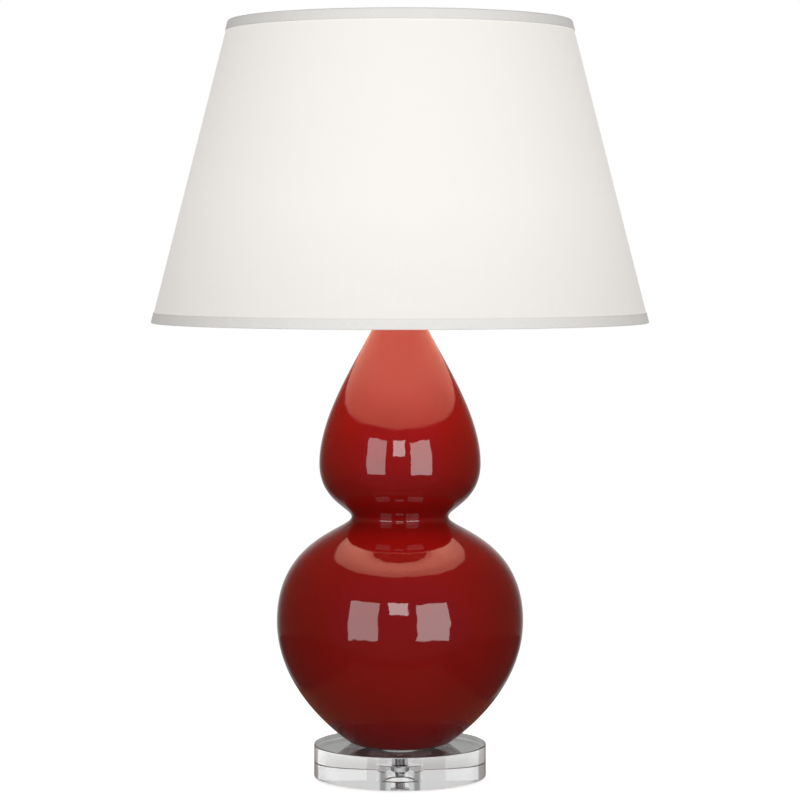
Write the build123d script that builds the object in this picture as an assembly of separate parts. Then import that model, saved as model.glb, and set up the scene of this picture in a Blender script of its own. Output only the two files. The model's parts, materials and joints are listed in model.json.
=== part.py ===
from build123d import *

import os
from math import atan2, cos, degrees, pi, radians, sin, tan

# A double gourd table lamp: a glazed ceramic body on a clear acrylic disc, and a hardback fabric shade
# that hangs on a harp. Millimetres, +Z up, the origin on the floor under the lamp's axis. The switch
# knob points to -Y, the front, and the cord's inlet is in the back of the body.

# ---- driving dimensions -------------------------------------------------------------------------

# base
BUMPER_R = 5.0
BUMPER_H = 1.5
BUMPER_CIRCLE_R = 68.0
BUMPER_COUNT = 4
BUMPER_BEVEL = 0.4
DISC_R = 84.0
DISC_H = 31.75
DISC_BEVEL = 0.8
ROD_R = 5.1
ROD_BORE_R = 3.5
ROD_HOLE_R = 5.75
COUNTERBORE_R = 15.0
COUNTERBORE_H = 15.0
WASHER_R = 12.0
WASHER_H = 1.5
NUT_FLATS = 16.0
NUT_H = 5.0
NUT_BEVEL_H = 0.6
NUT_BEVEL_R = 0.9
ROD_TAIL = 5.0
GASKET_H = 0.8
GASKET_R = 43.0
GASKET_HOLE_R = 31.0
NUT_FIT = 0.05

# gourd: radii, and heights above its foot, of the four upright points of its outline
FOOT_R = 44.5
FOOT_ROUND = 10.0
FOOT_ANGLE = 36.0
BELLY_R = 120.2
BELLY_H = 120.0
WAIST_R = 47.3
WAIST_H = 221.6
SHOULDER_R = 78.6
SHOULDER_H = 273.6
NECK_R = 19.0
NECK_H = 428.3
GOURD_H = 435.5
# how long the curve keeps its direction on each side of those points
FOOT_HANDLE = 30.0
BELLY_HANDLE_BELOW = 58.4
BELLY_HANDLE_ABOVE = 80.8
WAIST_HANDLE_BELOW = 12.4
WAIST_HANDLE_ABOVE = 8.8
SHOULDER_HANDLE_BELOW = 36.4
SHOULDER_HANDLE_ABOVE = 60.3
NECK_HANDLE = 24.6
GOURD_WALL = 6.0
GOURD_FLOOR = 9.0
FOOT_RECESS_R = 30.0
FOOT_RECESS_H = 2.0
ARC_HANDLE = 0.55

# cord inlet: where it is along the curve from the foot to the belly, and its bushing
INLET_AT = 0.42
INLET_HOLE_R = 6.0
BUSHING_BORE_R = 3.75
BUSHING_FLANGE_R = 9.0
BUSHING_FLANGE_H = 2.0
BUSHING_DEPTH = 10.0
BUSHING_ROUND = 1.2

# stack on the neck
CAP_R = 21.6
CAP_SKIRT_H = 5.0
CAP_SKIRT_WALL = 1.6
CAP_H = 6.0
CAP_BOSS_R = 9.0
CAP_BOSS_H = 0.8
SPACER_R = 8.0
SPACER_H = 18.0
SPACER_ROUND = 0.8
SADDLE_WALL = 1.6
SADDLE_WIDTH = 12.0
SADDLE_RISE = 10.0
SADDLE_BEND = 4.0
HARP_LEG_X = 31.0
POST_H = 9.0

# socket, heights above its own foot
SOCKET_H = 58.0
SOCKET_CAP_R = 17.0
SOCKET_CAP_H = 20.0
SOCKET_HUB_R = 7.5
SOCKET_HUB_H = 6.5
SOCKET_CAP_WALL = 0.8
SOCKET_SHOULDER_H = 13.0
SOCKET_SHOULDER_ROUND = 3.0
SET_SCREW_R = 1.5
SET_SCREW_SLOT = 0.6
SOCKET_SHELL_R = 16.1
SOCKET_SHELL_WALL = 0.5
SOCKET_SHELL_TUCK = 6.0
SOCKET_BEAD_R = 0.9
SOCKET_BEAD_DROP = 1.0
LINER_R = 15.5
LINER_WALL = 0.8
LINER_INSET = 0.5
CORE_R = 14.4
CORE_LOW = 14.0
CORE_HIGH = 30.0
CORE_FLAT_X = 11.5
SCREW_SHELL_R = 13.2
SCREW_SHELL_WALL = 0.4
SCREW_SHELL_HIGH = 56.0
SCREW_SHELL_LIP = 4.0
CONTACT_HIGH = 31.9
CONTACT_WALL = 0.5
CONTACT_W = 6.0
CONTACT_FOOT_X = 6.0
CONTACT_BEND_X = 4.0
CONTACT_TIP_X = 3.0
SWITCH_H = 26.0
SWITCH_SHAFT_R = 1.9
SWITCH_FIT = 0.1
SWITCH_SLOT_R = 2.4
SHAFT_INNER_Y = 7.0
SHAFT_TAIL = 3.0
KNOB_R = 5.5
KNOB_INNER_Y = 18.0
KNOB_OUTER_Y = 31.0
KNOB_FLUTES = 12
KNOB_ROUND = 0.8
FLUTE_R = 0.9
FLUTE_START = 2.5
TERMINAL_HEAD_R = 2.6
TERMINAL_HEAD_H = 1.4
TERMINAL_SHANK_R = 1.4
TERMINAL_SHANK_H = 4.5
TERMINAL_SLOT = 0.7
TERMINAL_SLOT_H = 0.5

# bulb, heights above its tip
BULB_R = 30.0
BULB_H = 112.0
BULB_CAP_R = 13.1
BULB_CAP_LOW = 6.0
BULB_CAP_HIGH = 27.5
BULB_CAP_WALL = 0.4
BULB_CAP_FOOT_R = 9.0
BULB_CAP_TAPER_H = 2.5
BULB_NECK_R = 12.5
BULB_GLASS_WALL = 0.7
BULB_TIP_R = 4.8
BULB_TIP_H = 2.0
BULB_TIP_ROUND = 1.0
INSULATOR_GAP = 0.05
INSULATOR_LIP = 0.6
BULB_NECK_TUCK = 3.0
BULB_NECK_HANDLE = 24.0
BULB_WIDEST_HANDLE = 26.0
CONTACT_GAP = 0.1
STEM_WAIST_R = 4.5
STEM_TIP_R = 2.6
STEM_FLARE_H = 10.0
STEM_H = 34.0
STEM_TIP_H = 2.0
STEM_GAP = 0.3
FILAMENT_R = 0.5
FILAMENT_FOOT_X = 3.2
FILAMENT_HALF = 11.0
FILAMENT_LOW = 22.0
FILAMENT_H = 22.0
FILAMENT_BEND_R = 3.0

# harp
WIRE_R = 2.4
HARP_BELLY_X = 60.0
HARP_LEG_H = 35.0
HARP_FLARE_H = 87.0
HARP_SHOULDER_DROP = 37.5
HARP_SHOULDER_IN = 22.0
HARP_BENDS = (60.0, 110.0, 90.0, 30.0)
CROWN_R = 7.0
CROWN_H = 7.0
CROWN_BEVEL = 0.6
WIRE_SEAT = 2.0
SLEEVE_R = 4.0
SLEEVE_FIT = 0.08
SLEEVE_H = 14.0
SLEEVE_ROUND = 0.6
STUD_R = 3.175
STUD_FIT = 0.075
STUD_HEAD_R = 5.5
STUD_HEAD_H = 2.0
STUD_HEAD_ROUND = 1.2
STUD_BEVEL = 0.6
STUD_COLLAR_R = 6.5
STUD_COLLAR_H = 1.5
STUD_THREAD_H = 9.0
END_FLOAT = 0.1

# shade, outer sizes over its trim
SHADE_BOTTOM_R = 241.3
SHADE_TOP_R = 166.2
SHADE_H = 290.9
SHADE_BOTTOM_Z = 444.8
TRIM_WALL = 0.6
TRIM_H = 10.0
FABRIC_WALL = 0.5
GLUE_GAP = 0.1
LINING_WALL = 0.8
FABRIC_DEPTH = TRIM_WALL
LINING_DEPTH = FABRIC_DEPTH + FABRIC_WALL + GLUE_GAP
LINING_INNER_DEPTH = LINING_DEPTH + LINING_WALL
RING_WIRE_R = 1.6
RING_FIT = 0.05
HUB_RECESS = 25.2
HUB_R = 11.0
HUB_HOLE_R = 3.6
HUB_H = 4.0
HUB_ROUND = 0.5
ARM_R = 1.5
ARM_COUNT = 3
ARM_FIRST_ANGLE = 90.0
ARM_LEVEL_R = 45.0
ARM_BEND_R = 60.0
ARM_SEAT = 2.0
ARM_WELD = 0.5

# finial
FINIAL_H = 20.0
FINIAL_BALL_R = 8.5
FINIAL_FOOT_R = 7.5
FINIAL_FOOT_H = 2.0
FINIAL_FOOT_ROUND = 1.2
FINIAL_STEM_R = 5.6
FINIAL_BEAD_H = 3.0
FINIAL_BEAD_R = 0.9
INSERT_R = 4.6
INSERT_H = 10.0
INSERT_FIT = 0.1

# ---- heights above the floor that follow from them ----------------------------------------------

DISC_Z = BUMPER_H
DISC_TOP_Z = DISC_Z + DISC_H
WASHER_Z = DISC_Z + COUNTERBORE_H - WASHER_H
NUT_Z = WASHER_Z - NUT_H
ROD_Z = NUT_Z - ROD_TAIL
FOOT_Z = DISC_TOP_Z + GASKET_H
NECK_TOP_Z = FOOT_Z + GOURD_H
SPACER_Z = NECK_TOP_Z + CAP_H
SADDLE_Z = SPACER_Z + SPACER_H
SOCKET_Z = SADDLE_Z + SADDLE_WALL
POST_Z = SADDLE_Z + SADDLE_RISE
WIRE_Z = POST_Z + POST_H
SHADE_TOP_Z = SHADE_BOTTOM_Z + SHADE_H
HUB_Z = SHADE_TOP_Z - HUB_RECESS
CROWN_TOP_Z = HUB_Z - STUD_COLLAR_H - END_FLOAT
CROWN_Z = CROWN_TOP_Z - CROWN_H
WIRE_TOP_Z = CROWN_Z + CROWN_H / 2
HUB_TOP_Z = HUB_Z + HUB_H
FINIAL_Z = HUB_TOP_Z + END_FLOAT
BULB_Z = SOCKET_Z + CONTACT_HIGH + CONTACT_GAP
SHADE_LEAN = atan2(SHADE_BOTTOM_R - SHADE_TOP_R, SHADE_H)

# ---- helpers ------------------------------------------------------------------------------------


def ring(inner, outer, low, high):
    """A tube on the lamp's axis between two heights."""
    return Pos(0, 0, low) * extrude(Circle(outer) - Circle(inner), high - low)


def disc(radius, low, high):
    """A solid cylinder on the lamp's axis between two heights."""
    return Pos(0, 0, low) * extrude(Circle(radius), high - low)


def turned(outline):
    """A closed outline of edges or points in (radius, height), turned about the lamp's axis."""
    if isinstance(outline[0], tuple):
        outline = [Polyline(*outline, close=True)]
    return revolve(Plane.XZ * make_face(Curve() + outline), Axis.Z)


def mirrored_pair(build):
    """The solids of build(side) for the right (+1) and left (-1) side."""
    return Compound(children=[build(side) for side in (1, -1)])


# ---- base ---------------------------------------------------------------------------------------


def base_bumpers():
    bumper = disc(BUMPER_R, 0, BUMPER_H)
    bumper = chamfer(bumper.edges().sort_by(Axis.Z)[0], BUMPER_BEVEL)
    places = PolarLocations(BUMPER_CIRCLE_R, BUMPER_COUNT, 45)
    return Compound(children=[place * bumper for place in places])


def acrylic_base():
    base = disc(DISC_R, DISC_Z, DISC_TOP_Z)
    base = chamfer(base.edges().filter_by(GeomType.CIRCLE), DISC_BEVEL)
    base -= disc(ROD_HOLE_R, DISC_Z, DISC_TOP_Z)
    return base - disc(COUNTERBORE_R, DISC_Z, DISC_Z + COUNTERBORE_H)


def base_washer():
    return ring(ROD_R + NUT_FIT, WASHER_R, WASHER_Z, WASHER_Z + WASHER_H)


def base_nut():
    hexagon = RegularPolygon(NUT_FLATS / 2, 6, major_radius=False) - Circle(ROD_R + NUT_FIT)
    corner_r = NUT_FLATS / 2 / cos(pi / 6)
    round_blank = Cylinder(corner_r, NUT_H, align=(Align.CENTER, Align.CENTER, Align.MIN))
    round_blank = chamfer(round_blank.edges().filter_by(GeomType.CIRCLE), NUT_BEVEL_H, NUT_BEVEL_R)
    return Pos(0, 0, NUT_Z) * (extrude(hexagon, NUT_H) & round_blank)


def threaded_rod():
    return ring(ROD_BORE_R, ROD_R, ROD_Z, SOCKET_Z + SOCKET_HUB_H)


def foot_gasket():
    return ring(GASKET_HOLE_R, GASKET_R, DISC_TOP_Z, FOOT_Z)


# ---- gourd --------------------------------------------------------------------------------------


def gourd_curve(inset):
    """The gourd's outline from its foot to its neck, moved towards the axis by inset.

    Handles shorten where the outline bulges out and lengthen at the waist, as in a parallel curve.
    """
    bulge = -ARC_HANDLE * inset
    hollow = ARC_HANDLE * inset
    lean = radians(FOOT_ANGLE)
    foot = Vector(
        FOOT_R + FOOT_ROUND * sin(lean) - inset * sin(lean),
        FOOT_Z + FOOT_ROUND * (1 - cos(lean)) + inset * cos(lean),
    )
    belly = Vector(BELLY_R - inset, FOOT_Z + BELLY_H)
    waist = Vector(WAIST_R - inset, FOOT_Z + WAIST_H)
    shoulder = Vector(SHOULDER_R - inset, FOOT_Z + SHOULDER_H)
    neck = Vector(NECK_R - inset, FOOT_Z + NECK_H)
    up = Vector(0, 1)
    foot_run = Vector(cos(lean), sin(lean)) * (FOOT_HANDLE + bulge)
    stretches = [
        (foot, foot_run, belly, BELLY_HANDLE_BELOW + bulge),
        (belly, up * (BELLY_HANDLE_ABOVE + bulge), waist, WAIST_HANDLE_BELOW + hollow),
        (waist, up * (WAIST_HANDLE_ABOVE + hollow), shoulder, SHOULDER_HANDLE_BELOW + bulge),
        (shoulder, up * (SHOULDER_HANDLE_ABOVE + bulge), neck, NECK_HANDLE + hollow),
    ]
    return [Bezier(start, start + pull, end - up * handle, end) for start, pull, end, handle in stretches]


def gourd_outside():
    """The gourd without its hollow."""
    curve = gourd_curve(0)
    foot_edge = (FOOT_R, FOOT_Z)
    foot_round = TangentArc(foot_edge, curve[0] @ 0, tangent=(1, 0))
    neck = curve[-1] @ 1
    rest = Polyline(neck, (NECK_R, NECK_TOP_Z), (0, NECK_TOP_Z), (0, FOOT_Z), foot_edge)
    return turned([foot_round, *curve, rest])


def gourd_hollow():
    curve = gourd_curve(GOURD_WALL)
    start = curve[0] @ 0
    end = curve[-1] @ 1
    floor_z = FOOT_Z + GOURD_FLOOR
    floor_edge = (start.X - GOURD_WALL / 2, floor_z)
    rest = Polyline(end, (end.X, NECK_TOP_Z), (0, NECK_TOP_Z), (0, floor_z), floor_edge, start)
    return turned([*curve, rest])


def inlet_plane():
    """A plane at the back of the gourd on its skin, facing straight out of it."""
    curve = gourd_curve(0)[0]
    point = curve @ INLET_AT
    run = curve % INLET_AT
    return Plane(origin=(0, point.X, point.Y), x_dir=(1, 0, 0), z_dir=(0, run.Y, -run.X))


def gourd_body():
    body = gourd_outside() - gourd_hollow()
    body -= disc(FOOT_RECESS_R, FOOT_Z, FOOT_Z + FOOT_RECESS_H)
    body -= disc(ROD_HOLE_R, FOOT_Z, FOOT_Z + GOURD_FLOOR)
    inlet = Cylinder(INLET_HOLE_R, 4 * GOURD_WALL)
    return body - inlet_plane() * inlet


def cord_bushing():
    flange = Pos(0, 0, -BUSHING_FLANGE_H) * Cylinder(
        BUSHING_FLANGE_R, 2 * BUSHING_FLANGE_H, align=(Align.CENTER, Align.CENTER, Align.MIN)
    )
    flange = fillet(flange.edges().sort_by(Axis.Z)[-1], BUSHING_ROUND)
    flange = inlet_plane() * flange - gourd_outside()
    sleeve = Pos(0, 0, -BUSHING_DEPTH / 2) * Cylinder(INLET_HOLE_R, BUSHING_DEPTH)
    bore = Cylinder(BUSHING_BORE_R, 4 * BUSHING_DEPTH)
    return flange + inlet_plane() * sleeve - inlet_plane() * bore


# ---- stack on the neck --------------------------------------------------------------------------


def vase_cap():
    hole_r = ROD_R + NUT_FIT
    inner_r = CAP_R - CAP_SKIRT_WALL
    skirt_z = NECK_TOP_Z - CAP_SKIRT_H
    top_z = NECK_TOP_Z + CAP_H
    boss_foot = (CAP_BOSS_R, top_z - CAP_BOSS_H)
    outline = [
        Polyline((hole_r, top_z), (hole_r, NECK_TOP_Z), (inner_r, NECK_TOP_Z), (inner_r, skirt_z)),
        Polyline((inner_r, skirt_z), (CAP_R, skirt_z), (CAP_R, NECK_TOP_Z)),
        TangentArc((CAP_R, NECK_TOP_Z), boss_foot, tangent=(0, 1)),
        Polyline(boss_foot, (CAP_BOSS_R, top_z), (hole_r, top_z)),
    ]
    return turned(outline)


def neck_spacer():
    spacer = ring(ROD_R + NUT_FIT, SPACER_R, SPACER_Z, SADDLE_Z)
    return fillet(spacer.edges().filter_by(GeomType.CIRCLE).sort_by(SortBy.RADIUS)[-2:], SPACER_ROUND)


def harp_saddle():
    """A strip bent up at both ends, each end with a post that carries a leg of the harp."""
    outer_x = HARP_LEG_X + SADDLE_WALL / 2
    inner_x = HARP_LEG_X - SADDLE_WALL / 2
    strip = make_face(Polyline(
        (-outer_x, POST_Z), (-outer_x, SADDLE_Z), (outer_x, SADDLE_Z), (outer_x, POST_Z),
        (inner_x, POST_Z), (inner_x, SOCKET_Z), (-inner_x, SOCKET_Z), (-inner_x, POST_Z),
        close=True,
    ))
    strip = fillet(strip.vertices().group_by(Axis.Y)[0], SADDLE_BEND)
    inner_corners = [v for v in strip.vertices() if abs(v.Y - SOCKET_Z) < 0.01]
    strip = fillet(inner_corners, SADDLE_BEND - SADDLE_WALL)
    saddle = extrude(Plane.XZ * strip, SADDLE_WIDTH / 2, both=True)
    saddle -= disc(ROD_R + NUT_FIT, SADDLE_Z, SOCKET_Z)
    post = Cylinder(WIRE_R, POST_H, align=(Align.CENTER, Align.CENTER, Align.MIN))
    for side in (1, -1):
        saddle += Pos(side * HARP_LEG_X, 0, POST_Z) * post
    return saddle


# ---- socket -------------------------------------------------------------------------------------


def at_socket(height):
    return SOCKET_Z + height


def switch_bore(radius, inner_y):
    """A hole for the switch shaft, from the front in to inner_y."""
    bore = Cylinder(radius, 3 * SOCKET_CAP_R, align=(Align.CENTER, Align.CENTER, Align.MIN))
    return Pos(0, -inner_y, at_socket(SWITCH_H)) * Rot(90, 0, 0) * bore


def set_screw_bore():
    bore = Cylinder(SET_SCREW_R, SOCKET_HUB_R, align=(Align.CENTER, Align.CENTER, Align.MIN))
    return Pos(0, ROD_R + NUT_FIT, at_socket(SOCKET_HUB_H / 2)) * Rot(-90, 0, 0) * bore


def socket_cap():
    wall = SOCKET_CAP_WALL
    inner_r = SOCKET_CAP_R - wall
    cap = turned([
        (ROD_R + NUT_FIT, at_socket(0)),
        (SOCKET_HUB_R, at_socket(0)),
        (SOCKET_HUB_R, at_socket(SOCKET_HUB_H)),
        (SOCKET_CAP_R, at_socket(SOCKET_SHOULDER_H)),
        (SOCKET_CAP_R, at_socket(SOCKET_CAP_H)),
        (inner_r, at_socket(SOCKET_CAP_H)),
        (inner_r, at_socket(SOCKET_SHOULDER_H + wall / 2)),
        (SOCKET_HUB_R - wall, at_socket(SOCKET_HUB_H + wall)),
        (ROD_R + NUT_FIT, at_socket(SOCKET_HUB_H + wall)),
    ])
    shoulder = cap.edges().filter_by(GeomType.CIRCLE).filter_by(
        lambda edge: abs(edge.radius - SOCKET_CAP_R) < 0.01 and edge.center().Z < at_socket(SOCKET_CAP_H - 1)
    )
    return fillet(shoulder, SOCKET_SHOULDER_ROUND) - set_screw_bore()


def socket_set_screw():
    screw = set_screw_bore() - disc(ROD_R + 2 * NUT_FIT, SOCKET_Z, at_socket(SOCKET_HUB_H))
    slot = Pos(0, ROD_R + SOCKET_HUB_R, at_socket(SOCKET_HUB_H / 2)) * Box(
        4 * SET_SCREW_R, SET_SCREW_R, SET_SCREW_SLOT
    )
    return screw - slot


def socket_shell():
    low = at_socket(SOCKET_CAP_H - SOCKET_SHELL_TUCK)
    shell = ring(SOCKET_SHELL_R - SOCKET_SHELL_WALL, SOCKET_SHELL_R, low, at_socket(SOCKET_H))
    bead_z = at_socket(SOCKET_H - SOCKET_BEAD_DROP)
    bead = Pos(0, 0, bead_z) * Torus(SOCKET_SHELL_R, SOCKET_BEAD_R)
    bead -= disc(SOCKET_SHELL_R - SOCKET_SHELL_WALL, bead_z - 2 * SOCKET_BEAD_R, bead_z + 2 * SOCKET_BEAD_R)
    return shell + bead - switch_bore(SWITCH_SLOT_R, SHAFT_INNER_Y)


def socket_liner():
    low = at_socket(CORE_LOW + LINER_INSET)
    liner = ring(LINER_R - LINER_WALL, LINER_R, low, at_socket(SOCKET_H - LINER_INSET))
    return liner - switch_bore(SWITCH_SLOT_R, SHAFT_INNER_Y)


def terminal_screw(side):
    head = Pos(side * CORE_FLAT_X, 0, 0) * Rot(0, side * 90, 0) * Cylinder(
        TERMINAL_HEAD_R, TERMINAL_HEAD_H, align=(Align.CENTER, Align.CENTER, Align.MIN)
    )
    slot = Box(2 * TERMINAL_SLOT_H, 4 * TERMINAL_HEAD_R, TERMINAL_SLOT)
    head -= Pos(side * (CORE_FLAT_X + TERMINAL_HEAD_H), 0, 0) * slot
    shank = Pos(side * CORE_FLAT_X, 0, 0) * Rot(0, -side * 90, 0) * Cylinder(
        TERMINAL_SHANK_R, TERMINAL_SHANK_H, align=(Align.CENTER, Align.CENTER, Align.MIN)
    )
    return Pos(0, 0, at_socket((CORE_LOW + CORE_HIGH) / 2)) * (head + shank)


def terminal_screws():
    return mirrored_pair(terminal_screw)


def socket_core():
    core = disc(CORE_R, at_socket(CORE_LOW), at_socket(CORE_HIGH))
    core &= Pos(0, 0, at_socket(CORE_LOW)) * Box(2 * CORE_FLAT_X, 2 * CORE_R, 2 * CORE_HIGH)
    core -= switch_bore(SWITCH_SHAFT_R + SWITCH_FIT, SHAFT_INNER_Y - 2 * SWITCH_FIT)
    for side in (1, -1):
        core -= terminal_screw(side)
    return core


def socket_screw_shell():
    low = at_socket(CORE_HIGH)
    outer_r = SCREW_SHELL_R + SCREW_SHELL_WALL
    shell = ring(SCREW_SHELL_R, outer_r, low, at_socket(SCREW_SHELL_HIGH))
    return shell + ring(SCREW_SHELL_R - SCREW_SHELL_LIP, outer_r, low, low + SCREW_SHELL_WALL)


def center_contact():
    low = at_socket(CORE_HIGH)
    high = at_socket(CONTACT_HIGH)
    wall = CONTACT_WALL
    strip = Polyline(
        (-CONTACT_FOOT_X, low),
        (-CONTACT_BEND_X, low),
        (0, high - wall),
        (CONTACT_TIP_X, high - wall),
        (CONTACT_TIP_X, high),
        (-0.6 * wall, high),
        (-CONTACT_BEND_X - 0.6 * wall, low + wall),
        (-CONTACT_FOOT_X, low + wall),
        close=True,
    )
    return Rot(0, 0, 90) * extrude(Plane.XZ * make_face(strip), CONTACT_W / 2, both=True)


# ---- switch -------------------------------------------------------------------------------------


def switch_shaft():
    length = KNOB_OUTER_Y - SHAFT_TAIL - SHAFT_INNER_Y
    shaft = Cylinder(SWITCH_SHAFT_R, length, align=(Align.CENTER, Align.CENTER, Align.MIN))
    return Pos(0, -SHAFT_INNER_Y, at_socket(SWITCH_H)) * Rot(90, 0, 0) * shaft


def switch_knob():
    length = KNOB_OUTER_Y - KNOB_INNER_Y
    knob = Cylinder(KNOB_R, length, align=(Align.CENTER, Align.CENTER, Align.MIN))
    knob = fillet(knob.edges().filter_by(GeomType.CIRCLE), KNOB_ROUND)
    flute = Cylinder(FLUTE_R, length, align=(Align.CENTER, Align.CENTER, Align.MIN))
    for place in PolarLocations(KNOB_R + FLUTE_R / 2, KNOB_FLUTES):
        knob -= place * Pos(0, 0, FLUTE_START) * flute
    return Pos(0, -KNOB_INNER_Y, at_socket(SWITCH_H)) * Rot(90, 0, 0) * knob - switch_shaft()


# ---- harp ---------------------------------------------------------------------------------------


def harp_wire(side):
    """Half of the harp: up a leg, out to its widest, and in to the crown."""
    corners = [
        (HARP_LEG_X, WIRE_Z),
        (HARP_LEG_X, WIRE_Z + HARP_LEG_H),
        (HARP_BELLY_X, WIRE_Z + HARP_FLARE_H),
        (HARP_BELLY_X, WIRE_TOP_Z - HARP_SHOULDER_DROP),
        (HARP_BELLY_X - HARP_SHOULDER_IN, WIRE_TOP_Z),
        (CROWN_R - WIRE_SEAT, WIRE_TOP_Z),
    ]
    path = FilletPolyline(*[(side * x, 0, z) for x, z in corners], radius=list(HARP_BENDS))
    section = Plane(origin=path @ 0, z_dir=(0, 0, 1)) * Circle(WIRE_R)
    return sweep(section, path)


def harp_wire_right():
    return harp_wire(1)


def harp_wire_left():
    return harp_wire(-1)


def harp_crown():
    crown = disc(CROWN_R, CROWN_Z, CROWN_TOP_Z)
    crown = chamfer(crown.edges().filter_by(GeomType.CIRCLE), CROWN_BEVEL)
    crown -= disc(STUD_R + STUD_FIT, CROWN_Z, CROWN_TOP_Z)
    for side in (1, -1):
        seat = Cylinder(WIRE_R, CROWN_R, align=(Align.CENTER, Align.CENTER, Align.MIN))
        crown -= Pos(side * (CROWN_R - WIRE_SEAT), 0, WIRE_TOP_Z) * Rot(0, side * 90, 0) * seat
    return crown


def harp_sleeve(side):
    sleeve = ring(WIRE_R + SLEEVE_FIT, SLEEVE_R, POST_Z, POST_Z + SLEEVE_H)
    sleeve = fillet(sleeve.edges().filter_by(GeomType.CIRCLE).sort_by(SortBy.RADIUS)[-2:], SLEEVE_ROUND)
    return Pos(side * HARP_LEG_X, 0, 0) * sleeve


def harp_sleeve_right():
    return harp_sleeve(1)


def harp_sleeve_left():
    return harp_sleeve(-1)


def shade_stud():
    head_z = CROWN_Z - END_FLOAT - STUD_HEAD_H
    head = disc(STUD_HEAD_R, head_z, head_z + STUD_HEAD_H)
    head = fillet(head.edges().sort_by(Axis.Z)[0], STUD_HEAD_ROUND)
    shaft = disc(STUD_R, head_z + STUD_HEAD_H, HUB_TOP_Z + STUD_THREAD_H)
    shaft = chamfer(shaft.edges().sort_by(Axis.Z)[-1], STUD_BEVEL)
    collar = disc(STUD_COLLAR_R, HUB_Z - STUD_COLLAR_H, HUB_Z)
    return head + shaft + collar


# ---- shade --------------------------------------------------------------------------------------


def cone_r(height, depth):
    """Radius at a height above the shade's bottom, at a depth under the trim's outer face."""
    return SHADE_BOTTOM_R - height * tan(SHADE_LEAN) - depth / cos(SHADE_LEAN)


def cone_shell(depth, wall, low, high):
    """A thin cone between two heights above the shade's bottom."""
    return turned([
        (cone_r(height, layer), SHADE_BOTTOM_Z + height)
        for height, layer in ((low, depth), (high, depth), (high, depth + wall), (low, depth + wall))
    ])


def shade_fabric():
    return cone_shell(FABRIC_DEPTH, FABRIC_WALL, TRIM_WALL, SHADE_H - TRIM_WALL)


def shade_lining():
    return cone_shell(LINING_DEPTH, LINING_WALL, TRIM_WALL, SHADE_H - TRIM_WALL)


def ring_height(at_top):
    inset = RING_WIRE_R + TRIM_WALL
    return SHADE_H - inset if at_top else inset


def ring_radius(at_top):
    return cone_r(ring_height(at_top), LINING_INNER_DEPTH + RING_WIRE_R + RING_FIT)


def shade_ring(at_top):
    return Pos(0, 0, SHADE_BOTTOM_Z + ring_height(at_top)) * Torus(ring_radius(at_top), RING_WIRE_R)


def shade_top_ring():
    return shade_ring(True)


def shade_bottom_ring():
    return shade_ring(False)


def shade_trim(at_top):
    """A band that wraps the rim: down the outside, over the edge, and round the wire ring."""
    low, high = (SHADE_H - TRIM_H, SHADE_H) if at_top else (0, TRIM_H)
    core_low, core_high = (low - 1, high - TRIM_WALL) if at_top else (TRIM_WALL, high + 1)

    def band(first, last, depth, inner_depth):
        corners = ((first, depth), (last, depth), (last, inner_depth), (first, inner_depth))
        points = [(cone_r(height, layer), SHADE_BOTTOM_Z + height) for height, layer in corners]
        return make_face(Polyline(*points, close=True))

    center = Pos(ring_radius(at_top), SHADE_BOTTOM_Z + ring_height(at_top))
    edge = high - TRIM_WALL if at_top else low
    section = band(low, high, 0, LINING_INNER_DEPTH) + center * Circle(RING_WIRE_R + TRIM_WALL)
    section += band(edge, edge + TRIM_WALL, 0, LINING_INNER_DEPTH + RING_WIRE_R)
    section -= band(core_low, core_high, TRIM_WALL, LINING_INNER_DEPTH)
    section -= center * Circle(RING_WIRE_R)
    return revolve(Plane.XZ * section, Axis.Z)


def shade_trim_top():
    return shade_trim(True) - spider_arms()


def shade_trim_bottom():
    return shade_trim(False)


def spider_hub():
    hub = ring(HUB_HOLE_R, HUB_R, HUB_Z, HUB_TOP_Z)
    return fillet(hub.edges().filter_by(GeomType.CIRCLE).sort_by(SortBy.RADIUS)[-2:], HUB_ROUND)


def spider_arms():
    arm_z = HUB_Z + HUB_H / 2
    ring_z = SHADE_BOTTOM_Z + ring_height(True)
    corners = (HUB_R - ARM_SEAT, 0, arm_z), (ARM_LEVEL_R, 0, arm_z), (ring_radius(True) + ARM_WELD, 0, ring_z)
    path = FilletPolyline(*corners, radius=ARM_BEND_R)
    arm = sweep(Plane(origin=path @ 0, z_dir=(1, 0, 0)) * Circle(ARM_R), path)
    arm = arm - spider_hub() - disc(HUB_R - HUB_ROUND, HUB_Z, HUB_TOP_Z) - shade_top_ring()
    arm = arm.solids().sort_by(SortBy.VOLUME)[-1]
    angles = [ARM_FIRST_ANGLE + 360 * k / ARM_COUNT for k in range(ARM_COUNT)]
    return Compound(children=[Rot(0, 0, angle) * arm for angle in angles])


# ---- finial -------------------------------------------------------------------------------------


def finial_insert():
    return ring(STUD_R + STUD_FIT, INSERT_R, FINIAL_Z, FINIAL_Z + INSERT_H)


def finial():
    top = FINIAL_Z + FINIAL_H
    ball_z = top - FINIAL_BALL_R
    foot = disc(FINIAL_FOOT_R, FINIAL_Z, FINIAL_Z + FINIAL_FOOT_H)
    foot = fillet(foot.edges().sort_by(Axis.Z)[-1], FINIAL_FOOT_ROUND)
    stem = disc(FINIAL_STEM_R, FINIAL_Z, ball_z)
    bead = Pos(0, 0, FINIAL_Z + FINIAL_BEAD_H) * Torus(FINIAL_STEM_R, FINIAL_BEAD_R)
    ball = Pos(0, 0, ball_z) * Sphere(FINIAL_BALL_R)
    bore = disc(INSERT_R + INSERT_FIT, FINIAL_Z, FINIAL_Z + INSERT_H + INSERT_FIT)
    return foot + stem + bead + ball - bore


# ---- bulb ---------------------------------------------------------------------------------------


def at_bulb(height):
    return BULB_Z + height


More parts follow.
